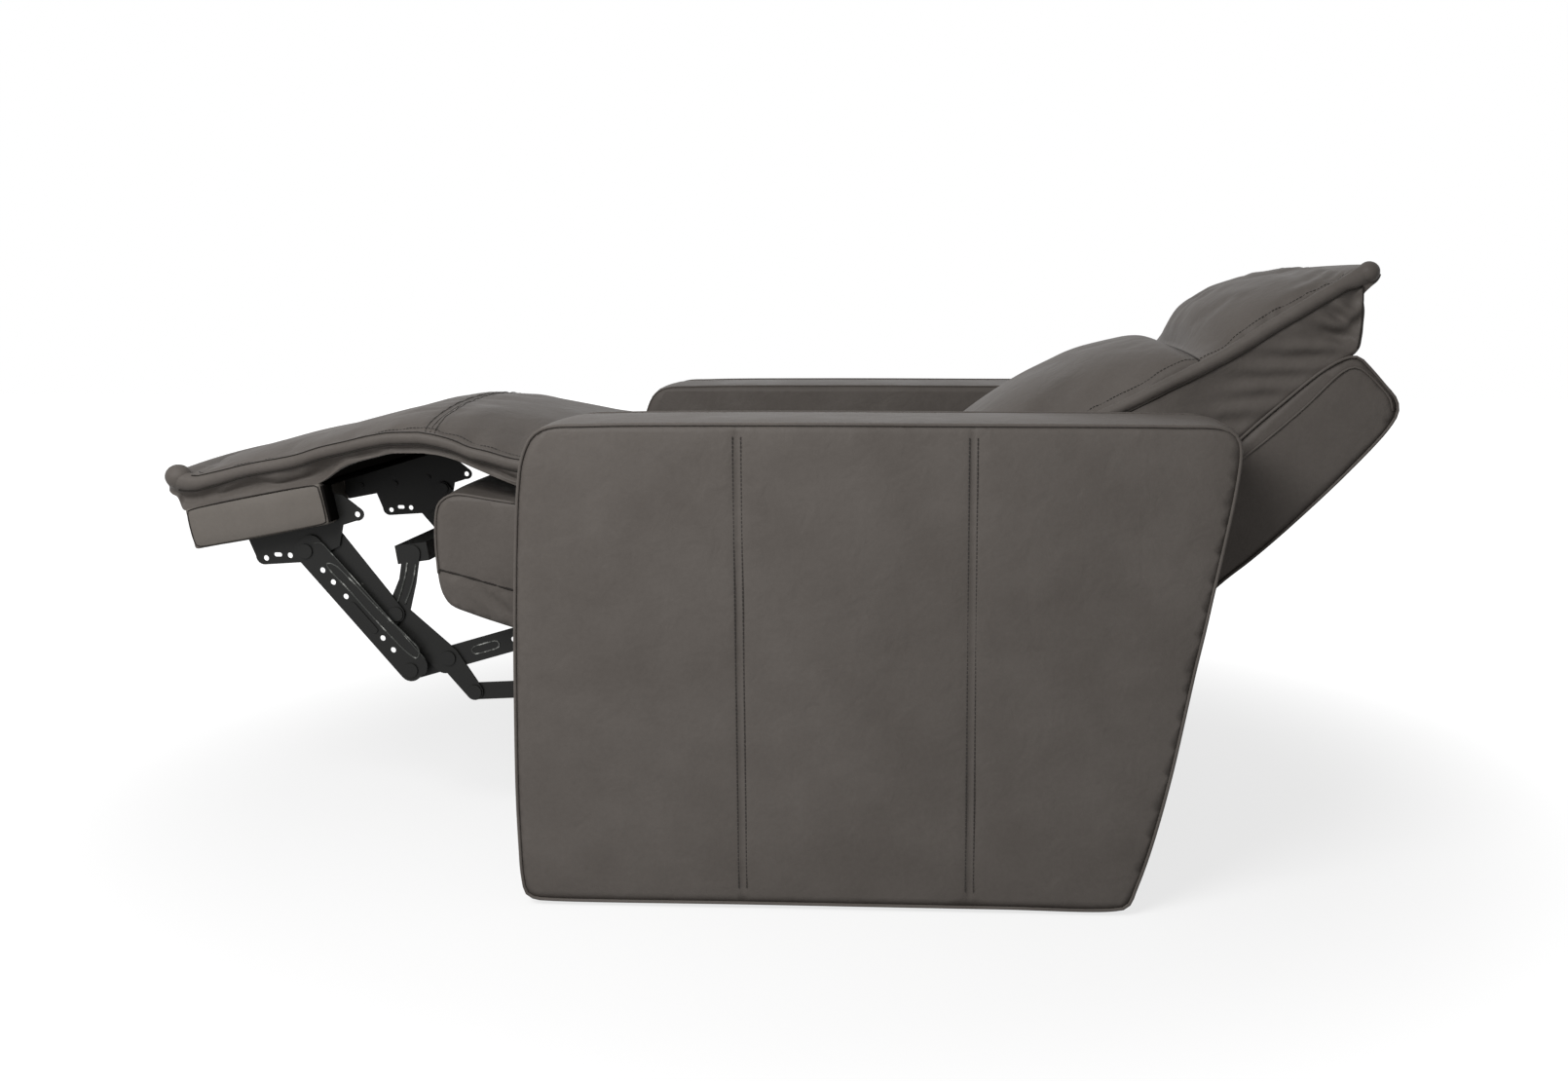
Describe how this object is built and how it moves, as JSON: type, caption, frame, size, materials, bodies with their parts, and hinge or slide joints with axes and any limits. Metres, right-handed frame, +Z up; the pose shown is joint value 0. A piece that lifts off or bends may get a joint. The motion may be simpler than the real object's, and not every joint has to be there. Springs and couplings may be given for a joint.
{
  "type": "power recliner",
  "caption": "Leather power recliner, reclined with its chaise footrest out on black steel linkages, with padded arms, a lumbar cushion, a tilting head cushion and push buttons.",
  "frame": {"origin": "on the floor, under the middle of the reclined chair", "axes": "-Y is the way the sitter faces, +Z is up, +X is the sitter's left"},
  "size_m": [0.97, 1.6423, 0.7979],
  "materials": {
    "leather": "satin",
    "black_steel": "satin",
    "bare_steel": "satin",
    "wood": "matte",
    "black_plastic": "matte",
    "button_plastic": "gloss",
    "foam": "matte",
    "webbing": "matte"
  },
  "bodies": {
    "base": {"arm_cover_left": "leather", "arm_cover_right": "leather", "arm_frame_left": "wood", "arm_frame_right": "wood", "floor_glides": "black_plastic", "front_cross_rail": "black_steel", "rear_cross_rail": "black_steel", "rail_bolts": "bare_steel", "slide_tracks": "black_steel", "recline_motor": "black_plastic", "recline_screw": "bare_steel", "power_inlet": "black_plastic", "control_panel": "black_plastic"},
    "button_recline": {"button_recline": "button_plastic"},
    "button_upright": {"button_upright": "button_plastic"},
    "button_head_up": {"button_head_up": "button_plastic"},
    "button_head_down": {"button_head_down": "button_plastic"},
    "seat": {"seat_pad": "leather", "seat_foam": "foam", "seat_webbing": "webbing", "seat_box_cover": "leather", "seat_rail_left": "black_steel", "seat_rail_right": "black_steel", "seat_rail_front": "black_steel", "seat_rail_rear": "black_steel", "mechanism_plate_left": "black_steel", "mechanism_plate_right": "black_steel", "carriage_tubes": "black_steel", "glide_shoes": "black_plastic", "recline_nut": "black_plastic", "footrest_motor": "black_plastic", "footrest_screw": "bare_steel"},
    "footrest_nut": {"footrest_nut": "black_plastic"},
    "back": {"back_shell": "leather", "back_panel": "wood", "back_hinge_left": "black_steel", "back_hinge_right": "black_steel", "lumbar_cushion": "leather", "head_brackets": "black_steel", "headrest_motor": "black_plastic"},
    "headrest": {"head_shaft": "bare_steel", "head_plate": "black_steel", "head_cushion": "leather"},
    "footrest": {"footrest_pad": "leather", "footrest_board": "leather", "ottoman_plate_left": "black_steel", "ottoman_plate_right": "black_steel"},
    "front_links": {"front_link_left": "black_steel", "front_link_right": "black_steel"},
    "rear_links": {"rear_link_left": "black_steel", "rear_link_right": "black_steel"},
    "lower_links": {"lower_link_left": "black_steel", "lower_link_right": "black_steel", "drive_tube": "black_steel"},
    "cross_links": {"cross_link_left": "black_steel", "cross_link_right": "black_steel", "cross_bar": "black_steel"},
    "cranks": {"crank_left": "black_steel", "crank_right": "black_steel"}
  },
  "joints": [
    {"name": "seat_glide", "type": "slide", "parent": "base", "child": "seat", "axis": [0, 1, 0], "range_m": [0, 0.12]},
    {"name": "back_recline", "type": "hinge", "parent": "seat", "child": "back", "pos_m": [0, 0.215, 0.4], "axis": [1, 0, 0], "range_deg": [0, 38.01]},
    {"name": "headrest_tilt", "type": "hinge", "parent": "back", "child": "headrest", "pos_m": [0, 0.5661, 0.672], "axis": [1, 0, 0], "range_deg": [0, 30]},
    {"name": "footrest_fold", "type": "hinge", "parent": "seat", "child": "footrest", "pos_m": [0, -0.5, 0.48], "axis": [1, 0, 0], "range_deg": [0, 79]},
    {"name": "front_link_turn", "type": "hinge", "parent": "footrest", "child": "front_links", "pos_m": [0, -0.65, 0.409], "axis": [1, 0, 0], "range_deg": [-106.91, 0]},
    {"name": "rear_link_turn", "type": "hinge", "parent": "footrest", "child": "rear_links", "pos_m": [0, -0.617, 0.435], "axis": [1, 0, 0], "range_deg": [-104.9, 0]},
    {"name": "lower_link_turn", "type": "hinge", "parent": "seat", "child": "lower_links", "pos_m": [0, -0.265, 0.314], "axis": [1, 0, 0], "range_deg": [0, 38.13]},
    {"name": "cross_link_turn", "type": "hinge", "parent": "lower_links", "child": "cross_links", "pos_m": [0, -0.46, 0.257], "axis": [1, 0, 0], "range_deg": [-40.92, 0]},
    {"name": "crank_turn", "type": "hinge", "parent": "seat", "child": "cranks", "pos_m": [0, -0.272, 0.233], "axis": [1, 0, 0], "range_deg": [0, 50.67]},
    {"name": "footrest_nut_travel", "type": "slide", "parent": "seat", "child": "footrest_nut", "axis": [0, 1, 0], "range_m": [0, 0.0418]},
    {"name": "button_recline_press", "type": "slide", "parent": "base", "child": "button_recline", "axis": [1, 0, 0], "range_m": [0, 0.0015], "stiffness_N_per_m": 300},
    {"name": "button_upright_press", "type": "slide", "parent": "base", "child": "button_upright", "axis": [1, 0, 0], "range_m": [0, 0.0015], "stiffness_N_per_m": 300},
    {"name": "button_head_up_press", "type": "slide", "parent": "base", "child": "button_head_up", "axis": [1, 0, 0], "range_m": [0, 0.0015], "stiffness_N_per_m": 300},
    {"name": "button_head_down_press", "type": "slide", "parent": "base", "child": "button_head_down", "axis": [1, 0, 0], "range_m": [0, 0.0015], "stiffness_N_per_m": 300}
  ],
  "couplings": [
    {"joint": "back_recline", "follows": "seat_glide", "rad_per_m": 5.5269},
    {"joint": "front_link_turn", "follows": "footrest_fold", "ratio": -1.353},
    {"joint": "rear_link_turn", "follows": "footrest_fold", "ratio": -1.3276},
    {"joint": "lower_link_turn", "follows": "footrest_fold", "ratio": 0.48252},
    {"joint": "cross_link_turn", "follows": "footrest_fold", "ratio": -0.5179},
    {"joint": "crank_turn", "follows": "footrest_fold", "ratio": 0.6413},
    {"joint": "footrest_nut_travel", "follows": "footrest_fold", "m_per_rad": 0.03031}
  ]
}
